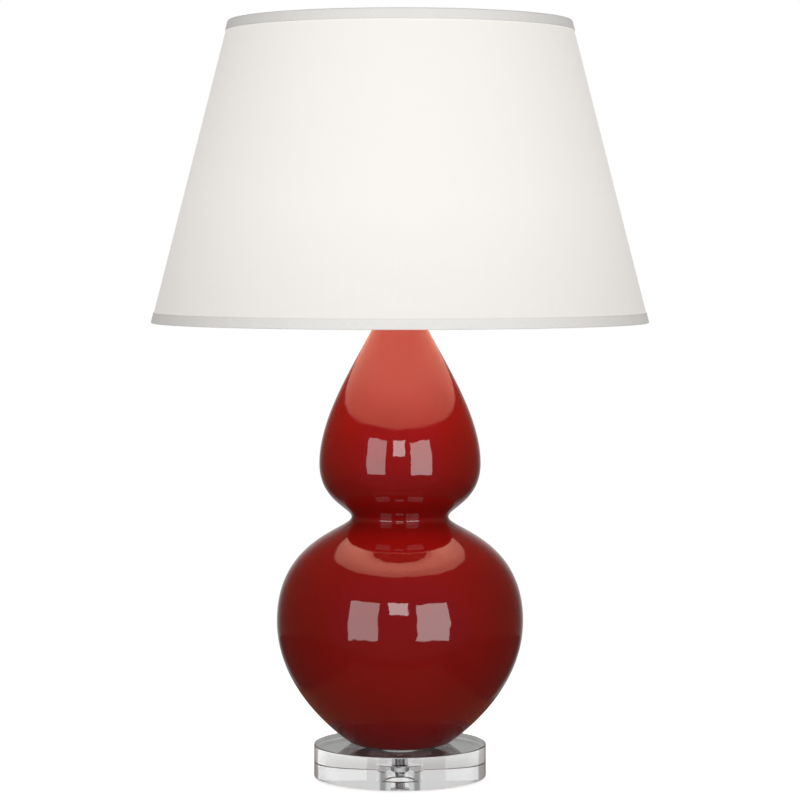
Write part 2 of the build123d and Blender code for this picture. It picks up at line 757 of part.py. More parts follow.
def bulb_tip():
    tip = disc(BULB_TIP_R, at_bulb(0), at_bulb(BULB_TIP_H))
    return fillet(tip.edges().sort_by(Axis.Z)[0], BULB_TIP_ROUND)


def bulb_insulator():
    low = at_bulb(BULB_TIP_H + INSULATOR_GAP)
    high = at_bulb(BULB_CAP_LOW)
    return turned([(0, low), (BULB_TIP_R + INSULATOR_LIP, low), (BULB_CAP_FOOT_R, high), (0, high)])


def bulb_cap():
    wall = BULB_CAP_WALL
    taper_z = at_bulb(BULB_CAP_LOW + BULB_CAP_TAPER_H)
    return turned([
        (0, at_bulb(BULB_CAP_LOW)),
        (BULB_CAP_FOOT_R, at_bulb(BULB_CAP_LOW)),
        (BULB_CAP_R, taper_z),
        (BULB_CAP_R, at_bulb(BULB_CAP_HIGH)),
        (BULB_CAP_R - wall, at_bulb(BULB_CAP_HIGH)),
        (BULB_CAP_R - wall, taper_z + wall / 2),
        (BULB_CAP_FOOT_R - wall / 2, at_bulb(BULB_CAP_LOW) + wall),
        (0, at_bulb(BULB_CAP_LOW) + wall),
    ])


def bulb_outline(inset):
    """Neck to crown of the bulb's glass, moved in by inset, as edges in (radius, height)."""
    center_z = at_bulb(BULB_H - BULB_R)
    neck = (BULB_NECK_R - inset, at_bulb(BULB_CAP_HIGH - BULB_NECK_TUCK))
    widest = (BULB_R - inset, center_z)
    top = (0, center_z + BULB_R - inset)
    neck_pull = (neck[0], neck[1] + BULB_NECK_HANDLE)
    widest_pull = (widest[0], center_z - BULB_WIDEST_HANDLE)
    flank = Bezier(neck, neck_pull, widest_pull, widest)
    return [flank, TangentArc(widest, top, tangent=(0, 1))]


def bulb_glass():
    outer = bulb_outline(0)
    inner = bulb_outline(BULB_GLASS_WALL)
    lip = Line(outer[0] @ 0, inner[0] @ 0)
    crown = Line(outer[1] @ 1, inner[1] @ 1)
    return turned([*outer, crown, *inner, lip])


def bulb_stem():
    foot_z = at_bulb(BULB_CAP_HIGH - BULB_NECK_TUCK)
    return turned([
        (0, foot_z),
        (BULB_NECK_R - BULB_GLASS_WALL - STEM_GAP, foot_z),
        (STEM_WAIST_R, foot_z + STEM_FLARE_H),
        (STEM_TIP_R, foot_z + STEM_H - STEM_TIP_H),
        (0, foot_z + STEM_H),
    ])


def bulb_filament():
    """Two support wires and the coil's arc between them."""
    low_z = at_bulb(BULB_CAP_HIGH + FILAMENT_LOW)
    high_z = low_z + FILAMENT_H
    path = FilletPolyline(
        (FILAMENT_FOOT_X, 0, low_z),
        (FILAMENT_HALF, 0, high_z),
        (-FILAMENT_HALF, 0, high_z),
        (-FILAMENT_FOOT_X, 0, low_z),
        radius=FILAMENT_BEND_R,
    )
    wire = sweep(Plane(origin=path @ 0, z_dir=path % 0) * Circle(FILAMENT_R), path)
    return wire - bulb_stem()


# ---- writing ------------------------------------------------------------------------------------

NODES = [
    base_bumpers, acrylic_base, base_washer, base_nut, threaded_rod, foot_gasket,
    gourd_body, cord_bushing,
    vase_cap, neck_spacer, harp_saddle,
    socket_cap, socket_set_screw, socket_shell, socket_liner, socket_core, terminal_screws,
    socket_screw_shell, center_contact, switch_shaft, switch_knob,
    harp_wire_left, harp_wire_right, harp_crown, harp_sleeve_left, harp_sleeve_right, shade_stud,
    spider_hub, spider_arms, shade_top_ring, shade_bottom_ring, shade_lining, shade_fabric,
    shade_trim_top, shade_trim_bottom,
    finial_insert, finial,
    bulb_tip, bulb_insulator, bulb_cap, bulb_glass, bulb_stem, bulb_filament,
]


def main():
    os.makedirs("parts", exist_ok=True)
    for build in NODES:
        shape = build()
        shape.label = build.__name__
        export_step(shape, f"parts/{build.__name__}.step")
    inlet = inlet_plane()
    print("cord inlet at", inlet.origin, "facing", inlet.z_dir)
    print("shade leans", round(degrees(SHADE_LEAN), 2), "degrees")


main()
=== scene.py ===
import json
import math

import bmesh
import bpy
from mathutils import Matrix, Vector


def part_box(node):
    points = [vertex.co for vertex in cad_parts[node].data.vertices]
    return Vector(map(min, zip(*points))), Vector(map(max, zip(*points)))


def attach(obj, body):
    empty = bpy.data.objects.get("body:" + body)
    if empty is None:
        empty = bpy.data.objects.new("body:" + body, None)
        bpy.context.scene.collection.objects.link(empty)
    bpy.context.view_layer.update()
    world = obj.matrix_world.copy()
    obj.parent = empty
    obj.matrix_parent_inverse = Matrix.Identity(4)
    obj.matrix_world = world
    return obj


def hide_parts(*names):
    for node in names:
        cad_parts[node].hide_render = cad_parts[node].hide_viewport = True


# The looks of a double gourd table lamp. Lengths are in millimetres and turned into metres where a mesh is
# made. Materials, camera and studio are in metres. The lamp stands on the floor at z = 0, its axis is Z and
# its front is -Y.

MM = 0.001
CLOTH_UV = "cloth"

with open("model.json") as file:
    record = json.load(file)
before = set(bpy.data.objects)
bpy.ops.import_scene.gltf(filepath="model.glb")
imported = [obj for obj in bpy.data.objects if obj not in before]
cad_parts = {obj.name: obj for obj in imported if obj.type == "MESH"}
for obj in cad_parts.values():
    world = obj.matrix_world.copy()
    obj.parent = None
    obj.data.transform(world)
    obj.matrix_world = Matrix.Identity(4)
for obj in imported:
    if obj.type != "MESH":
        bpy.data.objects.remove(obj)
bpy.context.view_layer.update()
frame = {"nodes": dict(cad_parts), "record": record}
NODES = frame["nodes"]


def heights(node):
    """The lowest and highest height of a CAD node, to a hundredth of a millimetre."""
    return [round(corner[2] / MM, 2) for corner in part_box(node)]


# base and rod
BUMPER_TOP_Z, DISC_TOP_Z = heights("acrylic_base")
DISC_LIFT = 0.05  # clears the bumpers' top faces, so that no two clear faces coincide
DISC_Z = BUMPER_TOP_Z + DISC_LIFT
DISC_R = 84.0
DISC_ROUND = 0.8
COUNTERBORE_R = 15.0
COUNTERBORE_H = 15.0
HOLE_R = 5.75
ROD_Z, ROD_TOP_Z = heights("threaded_rod")
ROD_R = 5.1
ROD_BORE_R = 3.5
ROD_PITCH = 25.4 / 27
ROD_THREAD_DEPTH = 0.5
ROD_THREAD_TOP_Z = 45.0
ROD_THREAD_START = 0.4  # share of the thread's fade in that is already past at the rod's end

# gourd: outline points as radius and height above its foot, and the reach of the curve's handles
FOOT_Z, NECK_TOP_Z = heights("gourd_body")
FOOT_R = 44.5
FOOT_ROUND = 10.0
FOOT_ANGLE = math.radians(36)
BELLY = (120.2, 120.0)
WAIST = (47.3, 221.6)
SHOULDER = (78.6, 273.6)
NECK = (19.0, 428.3)
FOOT_HANDLE = 30.0
BELLY_HANDLES = (58.4, 80.8)
WAIST_HANDLES = (12.4, 8.8)
SHOULDER_HANDLES = (36.4, 60.3)
NECK_HANDLE = 24.6
INSET_HANDLE = 0.55  # how much a handle grows or shrinks with each millimetre that its curve moves in
WALL = 6.0
LIP_CHAMFER = 0.8
FLOOR_H = 9.0
RECESS_R = 30.0
RECESS_H = 2.0
RECESS_CHAMFER = 0.6
INLET_R = 6.0

# shade, over its trim
SHADE_Z = heights("shade_trim_bottom")[0]
SHADE_H = heights("shade_trim_top")[1] - SHADE_Z
SHADE_BOTTOM_R = 241.3
SHADE_TOP_R = 166.2
SHADE_LEAN = math.atan2(SHADE_BOTTOM_R - SHADE_TOP_R, SHADE_H)
FABRIC_DEPTH = 0.6
FABRIC_WALL = 0.5
FABRIC_INSET = 0.8  # how far its edges stay from the rims
LINING_INNER_DEPTH = 2.0
RING_R = 1.6
RING_GAP = 0.05
SEAM_ANGLE = math.radians(90)
SEAM_LAP = 8.0
SEAM_RAMP = 10.0
SEAM_RISE = 0.55
SEAM_MARGIN = 1.0  # how far past the lap the trims keep their full rise

# the trims' section as height and depth from the rim: the face, the roll over the rim, and the end tucked in
TRIM_FACE = ((10.0, 0), (8.4, 0), (6.8, 0), (5.2, 0), (3.6, 0), (2.4, 0), (1.5, 0))
TRIM_ROLL = ((1.0, 0.06), (0.6, 0.2), (0.28, 0.42), (0.08, 0.7), (0, 1.0))
TRIM_TUCK = ((4.8, 2.85), (5.4, 2.6), (6.6, 2.56))
TRIM_WALL = 0.5

# bulb
GLASS_Z, GLASS_TOP_Z = heights("bulb_glass")
GLASS_R = 30.0
GLASS_NECK_R = 12.5
GLASS_HANDLES = (24, 26)
GLASS_WALL = 0.7
GLASS_POLE_DEG = 89  # the arc stops just short of the axis
CAP_Z, CAP_TOP_Z = heights("bulb_cap")
CAP_R = 13.1
CAP_FOOT_R = 9.0
CAP_TAPER_H = 2.5
CAP_LIP_H = 3.0
CAP_WALL = 0.4
CAP_PITCH = 25.4 / 7
CAP_THREAD_DEPTH = 0.9
CAP_THREAD_START = 0.3  # share of the thread's fade in that is already past at the taper
CAP_FADES = (2.0, 2.5)  # lengths over which the thread fades in above the taper, and out below the lip

# ---- outlines in (radius, height) ---------------------------------------------------------------


def bezier(p0, p1, p2, p3, steps):
    """Points along a cubic curve, without its last one."""
    points = []
    for k in range(steps):
        t = k / steps
        a, b, c, d = (1 - t) ** 3, 3 * (1 - t) ** 2 * t, 3 * (1 - t) * t * t, t ** 3
        points.append(tuple(a * w + b * x + c * y + d * z for w, x, y, z in zip(p0, p1, p2, p3)))
    return points


def arc(center, radius, first_deg, last_deg, steps):
    """Points along an arc, with both ends."""
    points = []
    for k in range(steps + 1):
        angle = math.radians(first_deg + (last_deg - first_deg) * k / steps)
        points.append((center[0] + radius * math.cos(angle), center[1] + radius * math.sin(angle)))
    return points


def rounded(points, reach, steps):
    """A closed outline with each corner cut to a small curve, at most a third of its edges long."""
    result = []
    for k, corner in enumerate(points):
        ends = []
        for end in (points[k - 1], points[(k + 1) % len(points)]):
            length = math.dist(corner, end)
            share = min(reach, length / 3) / length
            ends.append(tuple(c + (e - c) * share for c, e in zip(corner, end)))
        for step in range(steps + 1):
            t = step / steps
            a, b, c = (1 - t) ** 2, 2 * (1 - t) * t, t * t
            result.append(tuple(a * x + b * y + c * z for x, y, z in zip(ends[0], corner, ends[1])))
    return result


def strip(points, wall):
    """A closed outline round an open line of points, with the given wall on the line's left side."""
    inner = []
    for k, point in enumerate(points):
        before, after = points[max(k - 1, 0)], points[min(k + 1, len(points) - 1)]
        run = Vector((after[0] - before[0], after[1] - before[1])).normalized()
        inner.append((point[0] - run.y * wall, point[1] + run.x * wall))
    return points + inner[::-1]


def smooth_step(t):
    """From 0 to 1 with a soft start and end, and level beyond."""
    t = min(max(t, 0), 1)
    return t * t * (3 - 2 * t)


# ---- meshes -------------------------------------------------------------------------------------


def new_object(name, data):
    """An object in the scene for a mesh, light or camera."""
    obj = bpy.data.objects.new(name, data)
    bpy.context.scene.collection.objects.link(obj)
    return obj


def mesh_object(name, verts, faces, sharp_deg, uvs=None):
    """A smooth mesh object from millimetres; uvs, if given, has one (u, v) for each vertex."""
    mesh = bpy.data.meshes.new(name)
    mesh.from_pydata([tuple(c * MM for c in vert) for vert in verts], [], faces)
    if uvs:
        layer = mesh.uv_layers.new(name=CLOTH_UV)
        for loop in mesh.loops:
            layer.data[loop.index].uv = uvs[loop.vertex_index]
    edit = bmesh.new()
    edit.from_mesh(mesh)
    bmesh.ops.recalc_face_normals(edit, faces=edit.faces)
    edit.to_mesh(mesh)
    edit.free()
    mesh.polygons.foreach_set("use_smooth", [True] * len(mesh.polygons))
    mesh.set_sharp_from_angle(angle=math.radians(sharp_deg))
    return new_object(name, mesh)


def grid_faces(rows, columns, rows_wrap=False, columns_wrap=False):
    """Quads of a grid of vertices, row by row."""
    return [
        (
            row * columns + column,
            row * columns + (column + 1) % columns,
            (row + 1) % rows * columns + (column + 1) % columns,
            (row + 1) % rows * columns + column,
        )
        for row in range(rows if rows_wrap else rows - 1)
        for column in range(columns if columns_wrap else columns - 1)
    ]


def polar(radius, angle, height):
    """A point at an angle about the axis."""
    return radius * math.cos(angle), radius * math.sin(angle), height


def full_turn(segments):
    """The angles of the vertices round a full turn."""
    return [2 * math.pi * k / segments for k in range(segments)]


def ring(radius, height, segments):
    """A round row of vertices."""
    return [polar(radius, angle, height) for angle in full_turn(segments)]


def turned(name, outline, segments, sharp_deg, swell=None, cloth_uv=False):
    """A closed outline turned about the axis. swell(angle, row), if given, is added to the radius."""
    verts, uvs = [], []
    run = 0
    for row, (radius, height) in enumerate(outline):
        run += math.dist(outline[row - 1], outline[row]) if row else 0
        for angle in full_turn(segments):
            verts.append(polar(radius + (swell(angle, row) if swell else 0), angle, height))
            uvs.append((angle * SHADE_BOTTOM_R * MM, run * MM))
    faces = grid_faces(len(outline), segments, rows_wrap=True, columns_wrap=True)
    obj = mesh_object(name, verts, faces, sharp_deg, uvs if cloth_uv else None)
    keep_flats(obj, outline, segments)
    return obj


def keep_flats(obj, outline, segments, ratio=4):
    """Splits the shading where a run of the outline meets one that is more than ratio times as long."""
    runs = [math.dist(outline[row], outline[(row + 1) % len(outline)]) for row in range(len(outline))]
    split = {row for row, run in enumerate(runs) if max(run, runs[row - 1]) > ratio * min(run, runs[row - 1])}
    for edge in obj.data.edges:
        first, second = (vertex // segments for vertex in edge.vertices)
        if first == second and first in split:
            edge.use_edge_sharp = True


# ---- base ---------------------------------------------------------------------------------------


def build_disc():
    """The clear disc, with a through hole and a counterbore from below."""
    ceiling_z = DISC_Z + COUNTERBORE_H
    outline = [
        (HOLE_R, ceiling_z), (COUNTERBORE_R, ceiling_z), (COUNTERBORE_R, DISC_Z),
        (DISC_R, DISC_Z), (DISC_R, DISC_TOP_Z), (HOLE_R, DISC_TOP_Z),
    ]
    return turned("acrylic_disc", rounded(outline, DISC_ROUND, steps=4), segments=256, sharp_deg=60)


def build_rod():
    """The lamp rod: a tube with a V thread at its lower end, which fades out over its last turn."""
    segments, rows_a_turn, plain_rows = 48, 8, 6
    step = ROD_PITCH / rows_a_turn
    plain_h = ROD_TOP_Z - ROD_THREAD_TOP_Z
    rows = [ROD_Z + step * k for k in range(int((ROD_THREAD_TOP_Z - ROD_Z) / step))]
    rows += [ROD_THREAD_TOP_Z + plain_h * k / plain_rows for k in range(plain_rows + 1)]
    verts = []
    for z in rows:
        fade_out = smooth_step((ROD_THREAD_TOP_Z - z) / ROD_PITCH)
        fade_in = smooth_step((z - ROD_Z) / ROD_PITCH + ROD_THREAD_START)
        for angle in full_turn(segments):
            phase = (z / ROD_PITCH - angle / (2 * math.pi)) % 1
            cut = ROD_THREAD_DEPTH * fade_out * fade_in * abs(2 * phase - 1)
            verts.append(polar(ROD_R - cut, angle, z))
    verts += ring(ROD_BORE_R, ROD_TOP_Z, segments) + ring(ROD_BORE_R, ROD_Z, segments)
    faces = grid_faces(len(rows) + 2, segments, rows_wrap=True, columns_wrap=True)
    return mesh_object("lamp_rod", verts, faces, sharp_deg=40)


# ---- gourd --------------------------------------------------------------------------------------


def gourd_curve(inset, steps):
    """The gourd's outline from its foot to its neck, moved towards the axis by inset."""
    bulged, hollow = -INSET_HANDLE * inset, INSET_HANDLE * inset
    lean = Vector((math.cos(FOOT_ANGLE), math.sin(FOOT_ANGLE)))
    foot = Vector((FOOT_R + FOOT_ROUND * lean.y, FOOT_Z + FOOT_ROUND * (1 - lean.x)))
    foot += Vector((-lean.y, lean.x)) * inset
    belly, waist, shoulder, neck = (
        Vector((radius - inset, FOOT_Z + height)) for radius, height in (BELLY, WAIST, SHOULDER, NECK)
    )
    up = Vector((0, 1))
    stretches = [
        (foot, lean * (FOOT_HANDLE + bulged), belly, BELLY_HANDLES[0] + bulged),
        (belly, up * (BELLY_HANDLES[1] + bulged), waist, WAIST_HANDLES[0] + hollow),
        (waist, up * (WAIST_HANDLES[1] + hollow), shoulder, SHOULDER_HANDLES[0] + bulged),
        (shoulder, up * (SHOULDER_HANDLES[1] + bulged), neck, NECK_HANDLE + hollow),
    ]
    points = []
    for start, pull, end, handle in stretches:
        points += bezier(start, start + pull, end - up * handle, end, steps)
    return points + [tuple(neck)]


def build_gourd():
    """The hollow body, with a recess under its foot and the inlet's hole at the back."""
    outside = gourd_curve(0, steps=48)
    inside = gourd_curve(WALL, steps=12)
    foot = arc((FOOT_R, FOOT_Z + FOOT_ROUND), FOOT_ROUND, -90, math.degrees(FOOT_ANGLE) - 90, steps=8)
    lip_r = NECK[0]
    lip = [(lip_r, NECK_TOP_Z - LIP_CHAMFER), (lip_r - LIP_CHAMFER, NECK_TOP_Z), (lip_r - WALL, NECK_TOP_Z)]
    floor_z, recess_z = FOOT_Z + FLOOR_H, FOOT_Z + RECESS_H
    floor = [(inside[0][0] - WALL / 2, floor_z), (HOLE_R, floor_z)]
    recess = [
        (HOLE_R, recess_z), (RECESS_R, recess_z), (RECESS_R, FOOT_Z + RECESS_CHAMFER),
        (RECESS_R + RECESS_CHAMFER, FOOT_Z),
    ]
    outline = recess + foot[:-1] + outside + lip + inside[::-1] + floor
    gourd = turned("gourd_glazed", outline, segments=256, sharp_deg=50)
    cut_inlet(gourd)
    return gourd


def cut_inlet(gourd):
    """The hole for the cord's bushing, where the record has its mount, square to the skin."""
    inlet = next(mount for mount in frame["record"]["mounts"] if mount["name"] == "cord_inlet")
    cut = bmesh.new()
    bmesh.ops.create_cone(
        cut, cap_ends=True, segments=64, radius1=INLET_R * MM, radius2=INLET_R * MM, depth=4 * WALL * MM
    )
    mesh = bpy.data.meshes.new("inlet_cut")
    cut.to_mesh(mesh)
    cut.free()
    cutter = new_object("inlet_cut", mesh)
    cutter.rotation_mode = "QUATERNION"
    cutter.rotation_quaternion = Vector(inlet["axis"]).to_track_quat("Z", "Y")
    cutter.location = inlet["pos_m"]
    modifier = gourd.modifiers.new("inlet", "BOOLEAN")
    modifier.operation = "DIFFERENCE"
    modifier.solver = "EXACT"
    modifier.object = cutter
    apply_modifiers(gourd)
    bpy.data.objects.remove(cutter)


def apply_modifiers(obj):
    """Puts the result of an object's modifiers into its mesh."""
    graph = bpy.context.evaluated_depsgraph_get()
    mesh = bpy.data.meshes.new_from_object(obj.evaluated_get(graph))
    obj.modifiers.clear()
    obj.data = mesh


# ---- shade --------------------------------------------------------------------------------------


def cone_point(height, depth, at_top=False):
    """Radius and height of a place on the shade: its height from the rim, and its depth under the trim."""
    above = SHADE_H - height if at_top else height
    radius = SHADE_BOTTOM_R - above * math.tan(SHADE_LEAN) - depth / math.cos(SHADE_LEAN)
    return radius, SHADE_Z + above


def pattern_uv(turn, height):
    """A place on the flat cloth that the cone is rolled from, in metres. The front's middle is at u = 0."""
    slant = (SHADE_BOTTOM_R / math.sin(SHADE_LEAN) - height / math.cos(SHADE_LEAN)) * MM
    swing = (turn - math.pi) * math.sin(SHADE_LEAN)
    return slant * math.sin(swing), slant * math.cos(swing)


def build_fabric():
    """The fabric as one sheet, its end lapped over its start at the back."""
    rows, around, lap = 48, 600, 6
    columns = around + lap + 1
    verts, uvs = [], []
    for depth in (FABRIC_DEPTH, FABRIC_DEPTH + FABRIC_WALL):
        for row in range(rows):
            height = FABRIC_INSET + (SHADE_H - 2 * FABRIC_INSET) * row / (rows - 1)
            radius, z = cone_point(height, depth)
            for column in range(columns):
                turn = 2 * math.pi * min(column, around) / around
                turn += SEAM_LAP / radius * max(column - around, 0) / lap
                left = (2 * math.pi - turn) * radius
                rise = SEAM_RISE * (1 - smooth_step(left / SEAM_RAMP))
                verts.append(polar(radius + rise, SEAM_ANGLE + turn, z))
                uvs.append(pattern_uv(turn, height))
    side = rows * columns
    outer = grid_faces(rows, columns)
    faces = outer + [tuple(side + k for k in reversed(face)) for face in outer]
    edge = list(range(columns))
    edge += [row * columns + columns - 1 for row in range(1, rows)]
    edge += [(rows - 1) * columns + k for k in range(columns - 2, -1, -1)]
    edge += [row * columns for row in range(rows - 2, 0, -1)]
    for k, here in enumerate(edge):
        there = edge[(k + 1) % len(edge)]
        faces.append((here, there, side + there, side + here))
    return mesh_object("shade_cloth", verts, faces, sharp_deg=50, uvs=uvs)


def bulge(angle, radius):
    """How far a trim stands out where it passes over the lap of the fabric."""
    off = (angle - SEAM_ANGLE + math.pi) % (2 * math.pi) - math.pi
    past = abs(off * radius - SEAM_LAP / 2) - SEAM_LAP / 2 - SEAM_MARGIN
    return SEAM_RISE * (1 - smooth_step(past / SEAM_RAMP))


def build_trim(at_top):
    """A band of the same cloth: along the outside, over the rim, round the wire ring and onto the lining."""
    wrap_r = RING_R + FABRIC_DEPTH
    ring_r, ring_z = cone_point(wrap_r, LINING_INNER_DEPTH + RING_R + RING_GAP, at_top)
    side = -1 if at_top else 1
    face, roll, tuck = (
        [cone_point(height, depth, at_top) for height, depth in places]
        for places in (TRIM_FACE, TRIM_ROLL, TRIM_TUCK)
    )
    wrap = [(ring_r + out, ring_z + side * up) for out, up in arc((0, 0), wrap_r, -90, -270, steps=12)]
    outline = strip(face + roll + wrap + tuck, -side * TRIM_WALL)

    def swell(angle, row):
        on_fabric = min(row, len(outline) - 1 - row) < len(face)
        return bulge(angle, ring_r) if on_fabric else 0

    name = "shade_trim_upper" if at_top else "shade_trim_lower"
    return turned(name, outline, segments=600, sharp_deg=50, swell=swell, cloth_uv=True)


# ---- bulb ---------------------------------------------------------------------------------------


def bulb_outline(inset, steps):
    """The glass from its neck to its top, moved in by inset."""
    center_z = GLASS_TOP_Z - GLASS_R
    neck = (GLASS_NECK_R - inset, GLASS_Z)
    widest = (GLASS_R - inset, center_z)
    low, high = GLASS_HANDLES
    flank = bezier(neck, (neck[0], GLASS_Z + low), (widest[0], center_z - high), widest, steps)
    return flank + arc((0, center_z), GLASS_R - inset, 0, GLASS_POLE_DEG, steps)


def build_bulb_glass():
    outline = bulb_outline(0, steps=24) + bulb_outline(GLASS_WALL, steps=24)[::-1]
    return turned("bulb_globe", outline, segments=128, sharp_deg=60)


def build_bulb_cap():
    """The screw cap: a rolled thread between a plain lip and the taper down to the insulator."""
    segments, rows_a_turn = 96, 16
    taper_z = CAP_Z + CAP_TAPER_H
    thread_h = CAP_TOP_Z - taper_z
    steps = int(thread_h * rows_a_turn / CAP_PITCH)
    verts = ring(CAP_FOOT_R, CAP_Z, segments)
    for row in range(steps + 1):
        z = taper_z + thread_h * row / steps
        fade_in = smooth_step((z - taper_z) / CAP_FADES[0] + CAP_THREAD_START)
        fade_out = smooth_step((CAP_TOP_Z - CAP_LIP_H - z) / CAP_FADES[1])
        for angle in full_turn(segments):
            cut = CAP_THREAD_DEPTH / 2 * (1 + math.cos(2 * math.pi * z / CAP_PITCH - angle))
            verts.append(polar(CAP_R - cut * fade_in * fade_out, angle, z))
    inner_r = CAP_R - CAP_WALL
    verts += ring(inner_r, CAP_TOP_Z, segments)
    verts += ring(inner_r - CAP_THREAD_DEPTH, CAP_TOP_Z - CAP_LIP_H, segments)
    verts += ring(inner_r - CAP_THREAD_DEPTH, taper_z, segments)
    verts += ring(CAP_FOOT_R - CAP_WALL, CAP_Z + CAP_WALL, segments)
    faces = grid_faces(len(verts) // segments, segments, columns_wrap=True)
    faces.append(tuple(range(segments - 1, -1, -1)))
    faces.append(tuple(len(verts) - segments + k for k in range(segments)))
    return mesh_object("bulb_screw_cap", verts, faces, sharp_deg=40)


# ---- nodes --------------------------------------------------------------------------------------


def rgba(colour):
    """A colour with its alpha. A number stands for a grey."""
    return (*colour, 1) if isinstance(colour, tuple) else (colour, colour, colour, 1)


def darker(colour, share):
    """A colour with only a share of its brightness."""
    return tuple(c * share for c in colour)


class Nodes:
    """Short names for the shader nodes that the materials, the floor and the world are made of."""

    def __init__(self, tree):
        self.tree = tree

    def put(self, socket, value):
        """Links a socket to another, or gives it a value."""
        if isinstance(value, bpy.types.NodeSocket):
            self.tree.links.new(value, socket)
        else:
            socket.default_value = value

    def add(self, kind, *values, operation=None, **named):
        """A new node, with values for its first sockets in their order and for others by name."""
        node = self.tree.nodes.new(kind)
        if operation:
            node.operation = operation
        for socket, value in zip(node.inputs, values):
            self.put(socket, value)
        for name, value in named.items():
            self.put(node.inputs[name], value)
        return node

    def math(self, operation, *values):
        return self.add("ShaderNodeMath", *values, operation=operation).outputs["Value"]

    def split(self, vector):
        return self.add("ShaderNodeSeparateXYZ", vector).outputs

    def span(self, value, places, results, kind="LINEAR"):
        """A value that goes from one result to the other between two places, and stays level beyond."""
        node = self.add("ShaderNodeMapRange", value, *places, *results)
        node.interpolation_type = kind
        return node.outputs["Result"]

    def step(self, value, places, results=(0, 1)):
        """The same with a soft start and end."""
        return self.span(value, places, results, "SMOOTHSTEP")

    def ramp(self, share, stops):
        """A colour read off straight runs between stops, each a place from 0 to 1 and a colour."""
        node = self.add("ShaderNodeValToRGB", share)
        elements = node.color_ramp.elements
        while len(elements) < len(stops):
            elements.new(0.5)
        for element, (place, colour) in zip(elements, stops):
            element.position = place
            element.color = rgba(colour)
        return node.outputs["Color"]

    def curve(self, value, stops):
        """A grey read off straight runs between stops, each a value and a grey."""
        low, high = stops[0][0], stops[-1][0]
        share = self.span(value, (low, high), (0, 1))
        return self.ramp(share, [((place - low) / (high - low), grey) for place, grey in stops])


# ---- materials, in metres -----------------------------------------------------------------------

NOISE_SPREAD = (0.3, 0.7)  # most of a noise's values lie between these
GRAIN_DEPTH = 0.01 * MM

SHADE_WHITE = (0.465, 0.455, 0.438)
TRIM_WHITE = (0.735, 0.722, 0.70)
GLOW_WHITE = (1.0, 0.965, 0.925)
THREAD_SHADE = 0.94  # how dark the cloth is between its threads
SHADE_PITCH = 1.1 * MM
TRIM_PITCH = 0.9 * MM

# heights between which the light of the bulb grows and fades, on the shade and on the bulb itself
BULB_LIGHT_GROWS = (0.45, 0.56)
SHADE_LIGHT_FADES = (0.66, 0.735)
LINING_LIGHT_FADES = (0.64, 0.735)
BULB_NECK_TO_BODY = (0.55, 0.60)

# the trims' two hems, from the rim of the band on, where painted shade lines dim the glow
NEAR_HEM_SHADE = (0.6 * MM, 1.4 * MM)
FAR_HEM_SHADE = (9.4 * MM, 10.2 * MM)


class Finish(Nodes):
    """A Principled material."""

    def __init__(self, name, **sockets):
        self.material = bpy.data.materials.new(name)
        self.material.use_nodes = True
        super().__init__(self.material.node_tree)
        self.shader = self.tree.nodes["Principled BSDF"]
        self.set(**sockets)
        self.place = self.add("ShaderNodeTexCoord").outputs["Object"]

    def set(self, **sockets):
        """Sets or links the shader's sockets, with _ for the spaces in their names."""
        for name, value in sockets.items():
            self.put(self.shader.inputs[name.replace("_", " ")], value)

    def noise(self, scale, detail=2, vector=None, roughness=0.5):
        where = vector or self.place
        node = self.add("ShaderNodeTexNoise", where, Scale=scale, Detail=detail, Roughness=roughness)
        return node.outputs["Fac"]

    def streaks(self, vector, scales, detail, roughness=0.5):
        """A noise with its own scale along each axis."""
        stretched = self.add("ShaderNodeMapping", vector, Scale=scales).outputs["Vector"]
        return self.noise(1.0, detail, stretched, roughness)

    def crossed(self, vector, along, across, detail):
        """Streaks along u added to streaks along v."""
        weft = self.streaks(vector, (along, across, 1), detail)
        warp = self.streaks(vector, (across, along, 1), detail)
        return self.math("ADD", weft, warp)

    def cloth_uv(self):
        node = self.add("ShaderNodeUVMap")
        node.uv_map = CLOTH_UV
        return node.outputs["UV"]

    def mottle(self, noise, dark, light):
        """Gives the surface a colour that follows a noise."""
        low, high = NOISE_SPREAD
        self.set(Base_Color=self.ramp(noise, [(low, dark), (high, light)]))

    def polish(self, noise, smooth, rough):
        """Gives the surface a roughness that follows a noise."""
        self.set(Roughness=self.span(noise, NOISE_SPREAD, (smooth, rough)))

    def relief(self, height, depth, below=None):
        """Gives the surface a bump, on top of the normal below."""
        node = self.add("ShaderNodeBump", Strength=1.0, Distance=depth, Height=height)
        if below:
            self.put(node.inputs["Normal"], below)
        self.set(Normal=node.outputs["Normal"])
        return node.outputs["Normal"]


def glaze():
    """Red glaze, faintly mottled, over clay that is a little wavy."""
    look = Finish("red_glaze", IOR=1.6)
    look.mottle(look.noise(14, 3), (0.212, 0.0044, 0.0034), (0.238, 0.0052, 0.0042))
    look.polish(look.noise(60), 0.025, 0.055)
    waves = look.relief(look.noise(75, 1), 0.16 * MM)
    look.relief(look.noise(900, 1), 0.004 * MM, waves)
    return look.material


def acrylic():
    """Clear acrylic with faint haze in patches."""
    look = Finish("clear_acrylic", IOR=1.49, Transmission_Weight=1.0, Base_Color=(0.985, 0.99, 0.99, 1))
    look.set(Roughness=look.span(look.noise(400), (0.45, 0.8), (0.0, 0.012)))
    look.relief(look.noise(30, 0), GRAIN_DEPTH)
    return look.material


def clear(name, ior, rough, tint=(1, 1, 1), transmission=1.0):
    """Glass or rubber that light goes through."""
    look = Finish(name, IOR=ior, Transmission_Weight=transmission, Base_Color=rgba(tint))
    look.polish(look.noise(300), rough * 0.7, rough * 1.4)
    look.relief(look.noise(200, 1), GRAIN_DEPTH)
    return look.material


